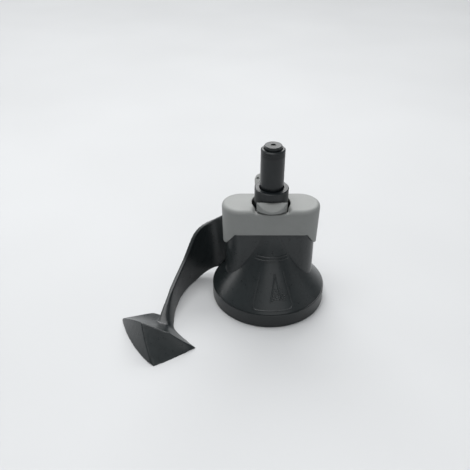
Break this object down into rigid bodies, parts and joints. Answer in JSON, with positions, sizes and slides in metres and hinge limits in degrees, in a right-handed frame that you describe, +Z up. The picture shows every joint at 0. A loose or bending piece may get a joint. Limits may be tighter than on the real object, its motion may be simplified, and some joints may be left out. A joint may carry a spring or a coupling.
{
  "type": "fryer stirring paddle",
  "caption": "Stirring paddle for a hot-air fryer: flared hub with drive socket, curved blade ending in a plough, grey release lever and turning tray post.",
  "frame": {"origin": "on the hub axis, in the plane that the base ring and the plough stand on", "axes": "+Z up along the hub axis, +X along the long side of the grey cap, away from the arm; -Y is the thumb tab's side"},
  "size_m": [0.1598, 0.1308, 0.131],
  "materials": {
    "black_nylon": "fine satin moulding texture",
    "grey_plastic": "matte, fine spark texture",
    "ring_plastic": "satin, slightly smoother than the hub",
    "post_plastic": "satin, turned look",
    "socket_plastic": "glass-filled, matte",
    "guide_plastic": "matte",
    "bush_plastic": "waxy natural acetal",
    "seal_rubber": "smooth silicone",
    "steel": "turned stainless steel",
    "spring_steel": "drawn wire"
  },
  "bodies": {
    "hub": {"base_ring": "ring_plastic", "bell_hub": "black_nylon", "tower_shell": "black_nylon", "stirring_arm": "black_nylon", "arm_screws": "steel", "drive_socket": "socket_plastic", "shaft_seal": "seal_rubber", "latch_guide": "guide_plastic", "drive_block": "post_plastic", "block_screws": "steel", "post_spindle": "steel", "spindle_clip": "spring_steel", "thrust_washer": "bush_plastic", "spindle_cap": "post_plastic", "head_screw": "steel", "release_cap": "grey_plastic", "cap_screws": "steel", "lever_pins": "steel", "lever_springs": "spring_steel"},
    "latch": {"latch_plate": "steel"},
    "sleeve": {"post_sleeve": "post_plastic", "lower_bush": "bush_plastic", "upper_bush": "bush_plastic"},
    "lever": {"release_lever": "grey_plastic"}
  },
  "joints": [
    {"name": "lever_rock", "type": "hinge", "parent": "hub", "child": "lever", "pos_m": [0, 0, 0.08], "axis": [1, 0, 0], "range_deg": [0, 5], "stiffness_Nm_per_rad": 0.12, "springref_deg": -11.46, "deforming": ["lever_springs"]},
    {"name": "latch_slide", "type": "slide", "parent": "hub", "child": "latch", "axis": [0, 1, 0], "range_m": [0, 0.00111]},
    {"name": "post_spin", "type": "hinge", "parent": "hub", "child": "sleeve", "pos_m": [0, 0, 0.1], "axis": [0, 0, 1], "continuous": true}
  ],
  "couplings": [
    {"joint": "lever_rock", "follows": "latch_slide", "rad_per_m": 78.74}
  ]
}
